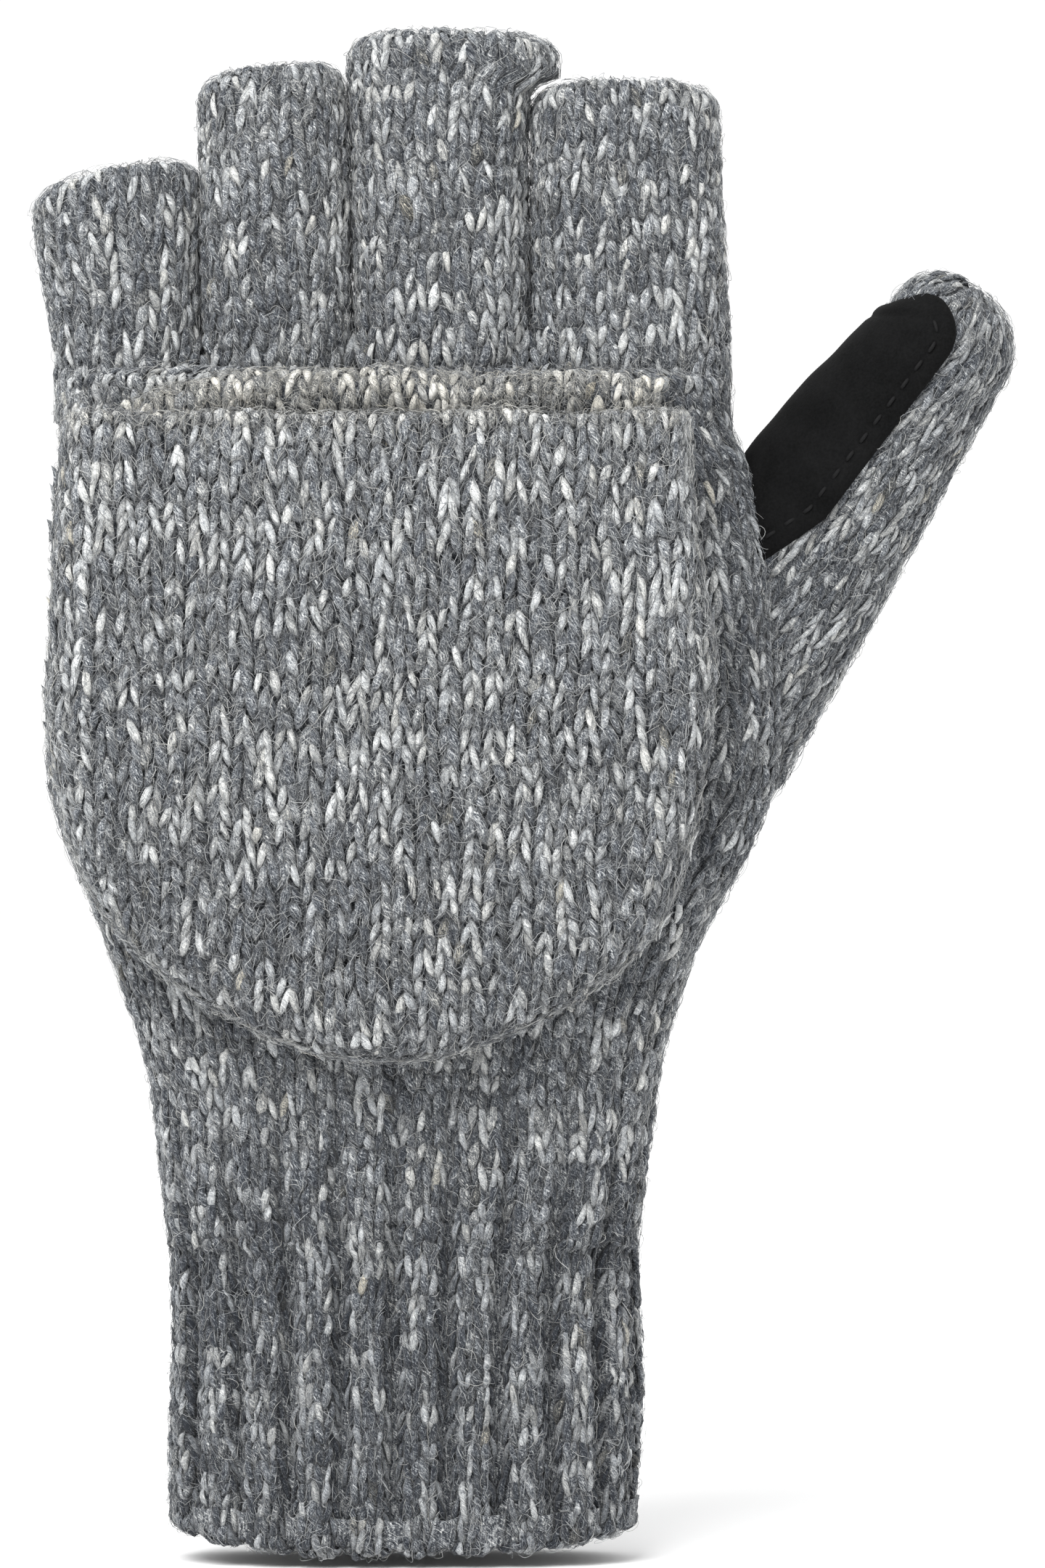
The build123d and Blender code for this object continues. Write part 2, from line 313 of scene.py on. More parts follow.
class Pouch:
    """One face of the flip cap: flat, with its edge rounded over towards the side seam."""

    def __init__(self, outline, facing, bulge, seed):
        self.outline, self.facing, self.bulge, self.seed = outline, facing, bulge, seed
        self.centre = (CAP_LOW[0] + CAP_HIGH[0]) / 2
        self.start = CAP_LOW[2] - 4.0

    def run_in(self, u, v):
        """How far a stitch is from the seam, measured over the rounded edge."""
        inside, _ = self.outline.inside(self.centre + u * WALE, self.start + v * COURSE)
        return inside + (np.pi / 2 - 1) * CAP_ROUND

    def course_at(self, height):
        """Course number at a height."""
        return (height - self.start) / COURSE

    def point(self, u, v):
        """Place of wale u, course v."""
        x = self.centre + u * WALE
        z = self.start + v * COURSE
        inside, inward = self.outline.inside(x, z)
        run = inside + (np.pi / 2 - 1) * CAP_ROUND
        turn = np.clip(run / CAP_ROUND, 0, np.pi / 2)
        on_edge = run < np.pi / 2 * CAP_ROUND
        moved = np.where(on_edge, CAP_ROUND * (1 - np.cos(turn)) - inside, 0.0)
        depth = np.where(on_edge, CAP_ROUND * np.sin(turn), CAP_ROUND)
        depth = depth + self.bulge * (1 - np.exp(-np.maximum(inside, 0) / 14.0))
        depth = depth + 0.35 * waves(x, z, self.seed, 34.0) * np.clip(inside / 8.0, 0, 1)
        x = x + moved * inward[..., 0]
        z = z + moved * inward[..., 1]
        if self.facing < 0:
            start = CAP_MOUTH - LIP - 0.4 + 0.3 * waves(x, 0 * x, "mouth", 16.0)
            over = np.maximum(z - start, 0)
            roll = np.minimum(over / LIP, np.pi)
            z = np.where(over > 0, start + LIP * np.sin(roll) - np.maximum(over - np.pi * LIP, 0), z)
            depth = depth - LIP * (1 - np.cos(roll))
        return np.stack([x, CAP_MIDDLE_Y + self.facing * depth, z], axis=-1)


class Strip:
    """A surface given by a formula of the wale and the course."""

    def __init__(self, formula):
        self.point = formula


def frame_at(surface, u, v):
    """Places on a surface, with the outward direction there. Rows and wales wander a little."""
    step = 0.06
    spot = surface.point(u, v)
    across, up = spot[..., 0] + spot[..., 1], spot[..., 2]
    v = v + ROWS_WANDER * waves(across, up, "courses", 15.0)
    u = u + ROWS_WANDER * 0.7 * waves(across, up, "wales", 21.0)
    across = surface.point(u + step, v) - surface.point(u - step, v)
    up = surface.point(u, v + step) - surface.point(u, v - step)
    return surface.point(u, v), unit(np.cross(across, up))


# ------------------------------------------------------------------ meshes
def map_corners(size, *pairs):
    """Corners of faces on the map that a surface is unrolled on, as shares of the map's size."""
    return np.stack([np.stack(np.broadcast_arrays(a, b), 1) for a, b in pairs], 1) / np.array(size)


def strands(paths, lifts, half_width, half_depth, sides, twist, shade, seed):
    """Closed tubes along many short paths, whose first and last points are their tips.

    paths (n, points, 3), lifts the outward direction at each, half_width and half_depth (n, points).
    shade (n, 3) is the tone of the yarn, its streaks and its warmth, kept on the mesh for the material.
    """
    count, rings = paths.shape[0], paths.shape[1] - 2
    ahead = unit(np.gradient(paths, axis=1))
    aside = unit(np.cross(lifts, ahead))
    out = np.cross(ahead, aside)
    angle = 2 * np.pi * np.arange(sides) / sides + np.pi / 2
    cos, sin = np.cos(angle), np.sin(angle)
    inner = slice(1, -1)
    ring = (
        paths[:, inner, None]
        + aside[:, inner, None] * (half_width[:, inner, None] * cos)[..., None]
        + out[:, inner, None] * (half_depth[:, inner, None] * sin)[..., None]
    )
    verts = np.concatenate([ring.reshape(count, rings * sides, 3), paths[:, [0, -1]]], axis=1)
    per = rings * sides + 2

    row, side = np.meshgrid(np.arange(rings - 1), np.arange(sides), indexing="ij")
    row, side = row.ravel(), side.ravel()
    after = (side + 1) % sides
    quad = [row * sides + side, row * sides + after, (row + 1) * sides + after, (row + 1) * sides + side]
    one = np.arange(sides)
    two = (one + 1) % sides
    top = (rings - 1) * sides
    tip_low = np.stack([np.full(sides, per - 2), two, one], 1)
    tip_high = np.stack([np.full(sides, per - 1), top + one, top + two], 1)
    shift = (np.arange(count) * per)[:, None, None]
    quads = (np.stack(quad, 1)[None] + shift).reshape(-1, 4)
    tris = (np.concatenate([tip_low, tip_high])[None] + shift).reshape(-1, 3)

    # each strand has a cell of its own in the map that the surface is unrolled on
    size = (sides, rings + 1)
    wide = int(math.ceil(math.sqrt(count)))
    cell = 1.0 / wide
    home = (np.stack([np.arange(count) % wide, np.arange(count) // wide], 1) * cell)[:, None, None]
    side2, row1, row2 = side + 1, row + 1, row + 2
    quad_uv = map_corners(size, (side, row1), (side2, row1), (side2, row2), (side, row2))
    low_uv = map_corners(size, (one + 0.5, 0), (one + 1, 1), (one, 1))
    high_uv = map_corners(size, (one + 0.5, rings + 1), (one, rings), (one + 1, rings))
    quad_uv = (home + (0.08 + 0.84 * quad_uv[None]) * cell).reshape(-1, 2)
    tri_uv = (home + (0.08 + 0.84 * np.concatenate([low_uv, high_uv])[None]) * cell).reshape(-1, 2)

    along = np.linalg.norm(np.diff(paths, axis=1), axis=2).cumsum(axis=1)[:, :, None]
    start = dice(seed + "_start").uniform(0, 400, (count, 1, 1))
    turn = angle[None, None] + twist * along[:, :-1]
    yarn = np.stack([np.cos(turn), np.sin(turn), along[:, :-1] + start + 0 * turn], axis=-1)
    yarn = yarn.reshape(count, rings * sides, 3)
    ends = np.concatenate([0 * start, 0 * start, start], axis=2)
    last = ends + np.concatenate([0 * start, 0 * start, along[:, -1:]], axis=2)
    return {
        "verts": verts.reshape(-1, 3), "quads": quads, "tris": tris, "quad_uv": quad_uv, "tri_uv": tri_uv,
        "yarn": np.concatenate([yarn, ends, last], axis=1).reshape(-1, 3),
        "shade": np.repeat(shade, per, axis=0),
    }


def joined_sheets(outside, inside, wrap):
    """Closed wall from two sheets of points with the same rows and columns. wrap closes it round."""
    grid = np.concatenate([outside, inside[::-1]], axis=0)
    high, columns = grid.shape[:2]
    wide = columns if wrap else columns - 1
    r, c = np.meshgrid(np.arange(high), np.arange(wide), indexing="ij")
    r, c = r.ravel(), c.ravel()
    r2, c2 = (r + 1) % high, (c + 1) % columns
    quads = np.stack([r * columns + c, r * columns + c2, r2 * columns + c2, r2 * columns + c], 1)
    size = (wide + 2.0, high)
    uv = map_corners(size, (c, r), (c + 1, r), (c + 1, r + 1), (c, r + 1))
    if not wrap:
        rows = np.arange(high // 2 - 1)
        far = high - 1 - rows
        for number, column in enumerate((0, columns - 1)):
            strip = np.stack([rows, far, far - 1, rows + 1], 1) * columns + column
            left = wide + number
            right = left + 1
            strip_uv = map_corners(size, (left, rows), (right, rows), (right, rows + 1), (left, rows + 1))
            if number:
                strip, strip_uv = strip[:, ::-1], strip_uv[:, ::-1]
            quads = np.concatenate([quads, strip])
            uv = np.concatenate([uv, strip_uv])
    flat = grid.reshape(-1, 3)
    return {
        "verts": flat, "quads": quads, "tris": np.zeros((0, 3), int), "quad_uv": uv.reshape(-1, 2),
        "tri_uv": np.zeros((0, 2)), "yarn": flat * 0.8, "shade": np.tile(WALL_LOOKS, (len(flat), 1)),
    }


def wall_behind(surface, u_range, v_range, columns, rows, bumps=0.0, wrap=True,
                depths=(WALL_OUTSIDE, WALL)):
    """Dark fabric behind the stitches, between two depths, with rows of purl bumps on its inside."""
    u = np.linspace(u_range[0], u_range[1], columns, endpoint=not wrap)
    v = np.linspace(v_range[0], v_range[1], rows)
    u, v = np.meshgrid(u, v)
    place, out = frame_at(surface, u, v)
    purl = bumps * np.abs(np.sin(np.pi * v)) * (0.6 + 0.4 * np.cos(2 * np.pi * u))
    return joined_sheets(place - out * depths[0], place - out * (depths[1] + purl)[..., None], wrap)


def make_object(name, parts, materials):
    """One Blender object from several meshes and the material of each."""
    shift = 0
    columns = {key: [] for key in ("verts", "quads", "tris", "quad_uv", "tri_uv", "yarn", "shade")}
    quad_slots, tri_slots = [], []
    weights = np.array([max(len(part["verts"]), 1) for part in parts], float) ** 0.5
    bands = np.concatenate([[0], np.cumsum(weights / weights.sum())])
    kinds = list(dict.fromkeys(materials))
    for number, (part, material) in enumerate(zip(parts, materials)):
        low, high = bands[number], bands[number + 1]
        for key in columns:
            values = part[key]
            if key in ("quads", "tris"):
                values = values + shift
            if key.endswith("uv"):
                span = high - low
                values = values * np.array([1.0, 0.98 * span]) + np.array([0.0, low + 0.01 * span])
            columns[key].append(values)
        quad_slots.append(np.full(len(part["quads"]), kinds.index(material)))
        tri_slots.append(np.full(len(part["tris"]), kinds.index(material)))
        shift += len(part["verts"])
    data = {key: np.concatenate(values) for key, values in columns.items()}
    quads, tris = data["quads"], data["tris"]
    mesh = bpy.data.meshes.new(name)
    mesh.vertices.add(len(data["verts"]))
    mesh.vertices.foreach_set("co", (data["verts"] * MM).astype(np.float32).ravel())
    loops = np.concatenate([quads.ravel(), tris.ravel()])
    mesh.loops.add(len(loops))
    mesh.loops.foreach_set("vertex_index", loops.astype(np.int32))
    starts = np.concatenate([np.arange(len(quads)) * 4, len(quads) * 4 + np.arange(len(tris)) * 3])
    mesh.polygons.add(len(starts))
    mesh.polygons.foreach_set("loop_start", starts.astype(np.int32))
    mesh.polygons.foreach_set("material_index", np.concatenate(quad_slots + tri_slots).astype(np.int32))
    mesh.update(calc_edges=True)
    mesh.polygons.foreach_set("use_smooth", np.ones(len(starts), bool))
    unrolled = np.concatenate([data["quad_uv"], data["tri_uv"]])
    layer = mesh.uv_layers.new(name="OFBake")
    layer.data.foreach_set("uv", unrolled.astype(np.float32).ravel())
    for title in ("yarn", "shade"):
        attribute = mesh.attributes.new(title, "FLOAT_VECTOR", "POINT")
        attribute.data.foreach_set("vector", data[title].astype(np.float32).ravel())
    for material in kinds:
        mesh.materials.append(material)
    obj = bpy.data.objects.new(name, mesh)
    bpy.context.scene.collection.objects.link(obj)
    return obj


# ------------------------------------------------------------------ stitches and fibres
MARL_YARN = 0.62             # how much a leg's tone owes to its place along the yarn,
MARL_CHANCE = 0.78           # to chance,
MARL_PATCHES = 0.48          # and to broad patches in the fabric
DARK_TONE, DARK_SPREAD = 0.13, 0.42
PALE_TONE, PALE_SPREAD = 0.56, 0.20
WARMTH = 0.08                # share of the warm tint in plain yarn
TUFT_LENGTH = (1.2, 3.8)
TUFT_HEIGHT = (-0.1, 0.5)    # over the surface
TUFT_WIDTH = 0.04            # half of it, as for a hair
HAIR_LENGTH = (2.0, 6.0)
HAIR_RISE = (0.25, 0.85)
HAIR_WIDTH = 0.035


def lattice(wales, courses):
    """Wale and course of every stitch, from lists of its wales and courses."""
    u, v = np.meshgrid(wales, courses)
    return u.ravel().astype(float), v.ravel().astype(float)


def tube_lattice(wales, first, last):
    """Wale and course of every stitch between two courses of a tube."""
    return lattice(np.arange(wales) + 0.5, np.arange(first, last))


def marl_tones(u, v, side, draw, light, warmth):
    """Tone of each leg. The yarn's light and dark stretches last a stitch or two along a course."""
    reach = 400
    yarn = dice("marl").normal(0, 1, (reach, reach))
    yarn = (yarn + np.roll(yarn, 1, axis=1)) / math.sqrt(2)
    row = np.mod(v.astype(int), reach)
    place = np.mod(np.floor(u * 2 + side * 0.5).astype(int), reach)
    level = yarn[row, place] * MARL_YARN + draw.normal(0, MARL_CHANCE, len(u))
    level = level + MARL_PATCHES * waves(u * WALE, v * COURSE, "patches", 26.0)
    order = 0.5 + 0.5 * np.tanh(level * 0.95)
    dark = DARK_TONE + DARK_SPREAD * order
    pale = PALE_TONE + PALE_SPREAD * draw.random(len(u))
    share = np.clip((order - (1 - light)) / 0.08, 0, 1)
    tone = dark * (1 - share) + pale * share
    streaks = 1.0 - 0.55 * share
    warm = np.clip(draw.normal(warmth, 0.1, len(u)), 0, 1) + (draw.random(len(u)) < 0.012) * 0.6
    return np.stack([tone, streaks, np.clip(warm, 0, 1)], axis=1)


def legs(surface, u, v, seed, light=0.26, warmth=WARMTH, rise=1.0, width=1.0, shade=0.0):
    """Both legs of every stitch at wale u, course v."""
    draw = dice(seed)
    shade = np.repeat(shade * np.ones(len(u)), 2)
    u, v = np.repeat(u, 2), np.repeat(v, 2)
    count = len(u)
    side = np.tile([-1.0, 1.0], count // 2)
    t = np.linspace(0, 1, 7)[None]
    shift = np.repeat(draw.normal(0, 0.06, count // 2), 2) + draw.normal(0, 0.05, count)
    lift = np.repeat(draw.normal(0, 0.08, count // 2), 2) + draw.normal(0, 0.06, count)
    spread = 0.40 + draw.normal(0, 0.06, count)
    length = LEG_REACH + draw.normal(0, 0.14, count)
    uu = (u + shift)[:, None] + side[:, None] * (LEG_GAP + spread[:, None] * t**0.85)
    vv = (v + lift)[:, None] + LEG_START + length[:, None] * t
    place, out = frame_at(surface, uu, vv)
    height = LEG_RISE * rise * arch(t, 0.05) - LEG_SUNK
    height = height + draw.normal(0, 0.15, count)[:, None]
    tones = marl_tones(u, v, side, draw, light, warmth)
    taper = arch(t, 0.04) ** 0.9
    slim = 0.62 + 0.38 * tones[:, 1]
    thick = width * (slim * (1 + draw.normal(0, 0.12, count)))[:, None] * taper
    tones[:, 0] = np.clip(tones[:, 0] + shade, 0.02, 1)
    paths = place + out * height[..., None]
    return strands(paths, out, LEG_WIDTH * thick, LEG_DEPTH * thick, 5, 0.4, tones, seed)


def fibre_warmth(draw, warmth, count):
    """Warmth of loose fibres, which differ from one to the next."""
    return np.clip(draw.normal(warmth, 0.12, count), 0, 1)


def tufts(surface, u, v, per, seed, warmth=0.1, shade=0.0):
    """Short fibres that stand out of the legs and lie along them: a few for each stitch."""
    draw = dice(seed)
    lighter = np.repeat(shade * np.ones(len(u)), per)
    u, v = np.repeat(u, per), np.repeat(v, per)
    count = len(u)
    side = draw.choice([-1.0, 1.0], count)
    t = draw.random(count)
    u = u + side * (LEG_GAP + 0.38 * t) + draw.normal(0, 0.1, count)
    v = v + LEG_START + LEG_REACH * t + draw.normal(0, 0.15, count)
    heading = side * 0.3 + draw.normal(0, 0.55, count)
    curl = draw.normal(0, 0.5, count)
    size = draw.uniform(*TUFT_LENGTH, count)
    steps = np.array([-0.5, -0.2, 0.2, 0.5])[None]
    turn = heading[:, None] + curl[:, None] * steps
    dx = np.sin(turn) * steps * size[:, None]
    dy = np.cos(turn) * steps * size[:, None]
    place, out = frame_at(surface, u[:, None] + dx / WALE, v[:, None] + dy / COURSE)
    crest = 0.45 * (1 - arch(t, 0.05))
    level = (draw.uniform(*TUFT_HEIGHT, count) - crest)[:, None]
    level = level - np.array([0.4, 0.0, 0.0, 0.4]) * draw.uniform(0, 1, (count, 1))
    thick = TUFT_WIDTH * draw.uniform(0.7, 1.4, (count, 1)) * np.ones((1, 4))
    pale = draw.random(count) < 0.62
    tone = np.where(pale, draw.uniform(0.42, 0.82, count), draw.uniform(0.08, 0.38, count))
    tone = np.clip(tone + lighter, 0.02, 1)
    warm = fibre_warmth(draw, warmth, count)
    looks = np.stack([tone, 0.3 + 0 * tone, warm], 1)
    return strands(place + out * level[..., None], out, thick, thick, 3, 0.0, looks, seed)


def hairs(surface, u, v, seed, warmth):
    """Loose curly hairs that start at wale u, course v and lie on the fabric."""
    draw = dice(seed)
    count = len(u)
    t = np.linspace(0, 1, 8)[None]
    size = draw.uniform(*HAIR_LENGTH, count)[:, None]
    start = draw.normal(0, 0.9, count) + np.pi * draw.integers(0, 2, count)
    heading = start[:, None] + draw.normal(0, 2.1, count)[:, None] * t
    heading = heading + 0.5 * np.sin(t * 2 * np.pi * draw.uniform(0.5, 1.6, (count, 1)))
    dx = np.cumsum(np.sin(heading), axis=1) * size / 7
    dy = np.cumsum(np.cos(heading), axis=1) * size / 7
    place, out = frame_at(surface, u[:, None] + dx / WALE, v[:, None] + dy / COURSE)
    level = -0.4 + draw.uniform(*HAIR_RISE, count)[:, None] * arch(t, 0.1) * 1.6
    thick = HAIR_WIDTH * draw.uniform(0.8, 1.2, (count, 1)) * np.array([0.5, 0.9, 1, 1, 1, 0.9, 0.7, 0.4])
    tone = draw.uniform(0.42, 0.85, count)
    warm = fibre_warmth(draw, warmth, count)
    shade = np.stack([tone, 0.2 + 0 * tone, warm], 1)
    return strands(place + out * level[..., None], out, thick, thick, 3, 0.0, shade, seed)


# ------------------------------------------------------------------ materials
class Paint:
    """A material, with short ways to add shader nodes to it."""

    def __init__(self, name, roughness, specular, sheen=0.0, sheen_roughness=0.5):
        self.material = bpy.data.materials.new(name)
        self.material.use_nodes = True
        self.tree = self.material.node_tree
        self.looks = self.tree.nodes["Principled BSDF"].inputs
        self.looks["Roughness"].default_value = roughness
        self.looks["Specular IOR Level"].default_value = specular
        self.looks["Sheen Weight"].default_value = sheen
        self.looks["Sheen Roughness"].default_value = sheen_roughness

    def add(self, kind, inputs, output=0, **settings):
        """Output of a new node. Each of its inputs is a number, a vector or another node's output."""
        node = self.tree.nodes.new(kind)
        for key, value in settings.items():
            setattr(node, key, value)
        for key, value in inputs.items():
            if isinstance(value, bpy.types.NodeSocket):
                self.tree.links.new(value, node.inputs[key])
            else:
                node.inputs[key].default_value = value
        return node.outputs[output]

    def maths(self, operation, first, second, clamp=False):
        """Sum, product or the like of two inputs."""
        return self.add("ShaderNodeMath", {0: first, 1: second}, operation=operation, use_clamp=clamp)

    def noise(self, vector, scale, detail, stretch=(1.0, 1.0, 1.0)):
        """Noise on a stretched vector, about 0 to 1."""
        place = self.add("ShaderNodeMapping", {"Vector": vector, "Scale": stretch})
        inputs = {"Vector": place, "Scale": scale, "Detail": detail, "Roughness": 0.6}
        return self.add("ShaderNodeTexNoise", inputs)

    def ramp(self, value, stops):
        """Colour ramp with (position, colour) stops."""
        colour = self.add("ShaderNodeValToRGB", {0: value})
        elements = colour.node.color_ramp.elements
        elements.remove(elements[1])
        elements[0].position = stops[0][0]
        elements[0].color = (*stops[0][1], 1)
        for position, shade in stops[1:]:
            elements.new(position).color = (*shade, 1)
        return colour

    def finish(self, colour, height=None, relief=0.0, depth=0.0):
        """Join the colour, and the fine relief where there is one, to the shader."""
        self.tree.links.new(colour, self.looks["Base Color"])
        if relief:
            bump = self.add("ShaderNodeBump", {"Strength": relief, "Distance": depth, "Height": height})
            self.tree.links.new(bump, self.looks["Normal"])
        return self.material


MARL_RAMP = [
    (0.0, (0.018, 0.021, 0.027)), (0.2, (0.055, 0.061, 0.071)), (0.4, (0.135, 0.145, 0.158)),
    (0.6, (0.275, 0.288, 0.300)), (0.8, (0.48, 0.495, 0.50)), (1.0, (0.76, 0.77, 0.765)),
]
WARM_TINT = (1.0, 0.90, 0.72, 1)
FIBRE_WIDTH = 0.00016        # of the fibres that lie over each other on matted wool, in metres
FIBRE_LENGTH = 0.0026
FIBRE_CURL = 0.0011
FIBRE_TURNS = (-0.34, 0.28, 1.05, -0.95)


def matted_fibres(paint):
    """Pattern of fine fibres that cross each other at several angles, about 0 to 1."""
    place = paint.add("ShaderNodeTexCoord", {}, "Object")
    drift = paint.add("ShaderNodeTexNoise", {"Vector": place, "Scale": 520.0, "Detail": 1.0}, "Color")
    inputs = {0: drift, 1: (FIBRE_CURL, FIBRE_CURL, FIBRE_CURL), 2: place}
    curled = paint.add("ShaderNodeVectorMath", inputs, operation="MULTIPLY_ADD")
    total = None
    for number, turn in enumerate(FIBRE_TURNS):
        inputs = {
            "Vector": curled, "Location": (0.013 * number, 0.007 * number, 0.0),
            "Rotation": (0.0, turn, 0.0), "Scale": (FIBRE_WIDTH, FIBRE_WIDTH * 1.5, FIBRE_LENGTH),
        }
        along = paint.add("ShaderNodeMapping", inputs, vector_type="TEXTURE")
        layer = paint.add("ShaderNodeTexNoise", {"Vector": along, "Scale": 1.0, "Detail": 1.0})
        if total is None:
            total = layer
        else:
            total = paint.maths("MAXIMUM" if number % 2 else "MINIMUM", total, layer)
    return total


def wool(name, contrast=1.0, relief=0.5, lift=0.0, matting=1.0):
    """Marl wool: each strand's own tone, streaked along the yarn and matted over with crossing fibres."""
    paint = Paint(name, 0.92, 0.15, sheen=0.15, sheen_roughness=0.55)
    yarn = paint.add("ShaderNodeAttribute", {}, "Vector", attribute_name="yarn")
    shade = paint.add("ShaderNodeAttribute", {}, "Vector", attribute_name="shade")
    tone, streaked, warmth = paint.add("ShaderNodeSeparateXYZ", {0: shade}).node.outputs
    streak = paint.noise(yarn, 2.6, 3.0, (1.6, 1.6, 0.3))
    grain = paint.maths("MULTIPLY", paint.maths("SUBTRACT", streak, 0.5), contrast * 1.7)
    grain = paint.maths("MULTIPLY", grain, streaked)
    total = paint.maths("ADD", paint.maths("ADD", tone, grain), lift)
    height = streak
    if matting:
        mat = matted_fibres(paint)
        height = paint.maths("ADD", mat, paint.maths("MULTIPLY", streak, 0.3))
        mat = paint.maths("MULTIPLY", paint.maths("SUBTRACT", mat, 0.5), matting * 1.9)
        share = paint.maths("ADD", paint.maths("MULTIPLY", streaked, 0.65), 0.35)
        total = paint.maths("ADD", total, paint.maths("MULTIPLY", mat, share), clamp=True)
    inputs = {0: warmth, 6: paint.ramp(total, MARL_RAMP), 7: WARM_TINT}
    colour = paint.add("ShaderNodeMix", inputs, 2, data_type="RGBA", blend_type="MULTIPLY")
    return paint.finish(colour, height, relief, 0.0004)


def suede(name):
    """Black suede: a short nap in uneven patches."""
    paint = Paint(name, 0.9, 0.08, sheen=0.02, sheen_roughness=0.4)
    place = paint.add("ShaderNodeTexCoord", {}, "Object")
    nap = paint.noise(place, 2600.0, 4.0)
    brush = paint.noise(place, 170.0, 3.0)
    both = paint.maths("ADD", paint.maths("MULTIPLY", nap, 0.55), paint.maths("MULTIPLY", brush, 0.45))
    colour = paint.ramp(both, [(0.3, (0.0012, 0.0013, 0.0013)), (0.75, (0.0085, 0.0085, 0.0088))])
    return paint.finish(colour, nap, 0.7, 0.00015)


def thread(name):
    """Black polyester sewing thread with a fine twist."""
    paint = Paint(name, 0.75, 0.2)
    yarn = paint.add("ShaderNodeAttribute", {}, "Vector", attribute_name="yarn")
    twist = paint.add("ShaderNodeTexWave", {"Vector": yarn, "Scale": 2.2}, "Fac", wave_type="BANDS",
                      bands_direction="DIAGONAL")
    colour = paint.ramp(twist, [(0.0, (0.0015, 0.0015, 0.0015)), (1.0, (0.0075, 0.0075, 0.008))])
    return paint.finish(colour)


WOOL = wool("marl_wool", lift=0.03)
# painted shade: the cuff's wool is a darker copy of the same yarn
RIB_WOOL_PAINTED_SHADE = wool("marl_wool_rib_painted_shade", lift=-0.07)
# painted light: a lighter copy of the wool for the cap's rim and the hinge ridge
EDGE_WOOL_PAINTED_LIGHT = wool("marl_wool_edge_painted_light", lift=0.12)
FIBRE = wool("wool_fibre", contrast=0.4, relief=0.0, matting=0.0)
BACKING = wool("purl_side", relief=0.8, matting=1.25)
SUEDE = suede("black_suede")
THREAD = thread("black_thread")


def finish_piece(obj, body=None, nodes=(), bend=None):
    """Hide the CAD nodes a finished piece stands for, and parent it to its body's empty. A piece given a
    bend only has its transform applied to its mesh.
    """
    if nodes:
        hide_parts(*nodes)
    if bend:
        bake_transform(obj)
    else:
        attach(obj, body)
    return obj


# ------------------------------------------------------------------ cuff and hand
CUFF_POWER = 2.9             # how square the sections are: 2 is an ellipse
HAND_POWER = 3.5
FINGER_POWER = 2.35
THUMB_POWER = 2.1
RIB_FADE = (42.0, 76.0)      # the ribs run out into plain knit between these heights
RIB_DEPTH = 2.6
# painted shade: how much darker the yarn is made in the cuff's furrows, where the ribs' recesses lie in
# shade
FURROW_PAINTED_SHADE = 0.12
LIP_WALL = (0.9, 1.42)       # depths of the dark fabric inside a rolled edge
HEM_WALL = (1.15, 1.45)      # the same inside the cuff's edge, where the furrows need more room
LOWER_HAND_TOP = 100.0       # the hand's knit changes pieces here


def lip_rows(height, direction, count=7):
    """Height and inset along a rolled edge, from the inside of the opening to its outside."""
    rows = [(height - direction * (LIP + LIP_INSIDE), 2 * LIP)]
    for turn in np.linspace(0, np.pi, count):
        rows.append((height + direction * LIP * (math.sin(turn) - 1), LIP + LIP * math.cos(turn)))
    return rows


def oval_stations(stations, samples, power):
    """Smooth rows between a piece's listed sections."""
    rows = []
    for height, left, right, depth in curve_through(stations, samples):
        rows.append(((left + right) / 2, height, (right - left) / 2, depth, power))
    return rows


def level_ring(middle, height, half_x, half_y, power):
    """Level row of an upright tube."""
    return (middle, 0.0, height), (1.0, 0.0, 0.0), (0.0, 1.0, 0.0), half_x, half_y, power


def hand_rings():
    """Rows of the cuff and hand, from inside the wrist opening to over the knuckles."""
    rings = []
    rows = lip_rows(0.0, -1.0) + [(height, 0.0) for height in np.arange(2.5, CUFF_TOP, 1.5)]
    for height, inset in rows:
        half_x, half_y = CUFF_HALF_WIDTH - inset, CUFF_HALF_DEPTH - inset
        rings.append(level_ring(0.0, height, half_x, half_y, CUFF_POWER))
    sections = oval_stations(HAND, 90, HAND_POWER)
    rings += [level_ring(*section) for section in sections]
    middle, top, half, depth, power = sections[-1]
    for turn in np.linspace(0.25, 1.0, 4) * np.pi / 2:
        inset = 5.0 * (1 - math.cos(turn))
        rings.append(level_ring(middle, top + 2.0 * math.sin(turn), half - inset, depth - inset, power))
    return rings


def furrow(u):
    """In the cuff each third wale sinks into a furrow: how deep a wale lies, from 0 to 1."""
    return np.clip(np.cos(2 * np.pi * (u - 2.5) / 3), 0, 1) ** 1.5


def rib_relief(u, grid):
    """Inward offset of the cuff's furrows, which fade out above the wrist."""
    low, high = RIB_FADE
    share = 1 - np.clip((grid[..., 2] - low) / (high - low), 0, 1)
    share = share * np.clip((grid[..., 2] + 3.0) / 12.0, 0.4, 1)
    return -RIB_DEPTH * furrow(u)[None] * share


def lift_hem(tube):
    """Raise the sides of the cuff's edge, so that it hangs in a shallow curve."""
    place = tube.grid
    share = np.clip(1 - place[..., 2] / 26.0, 0, 1) ** 1.5
    place[..., 2] += 3.6 * np.abs(place[..., 0] / CUFF_HALF_WIDTH) ** 3 * share


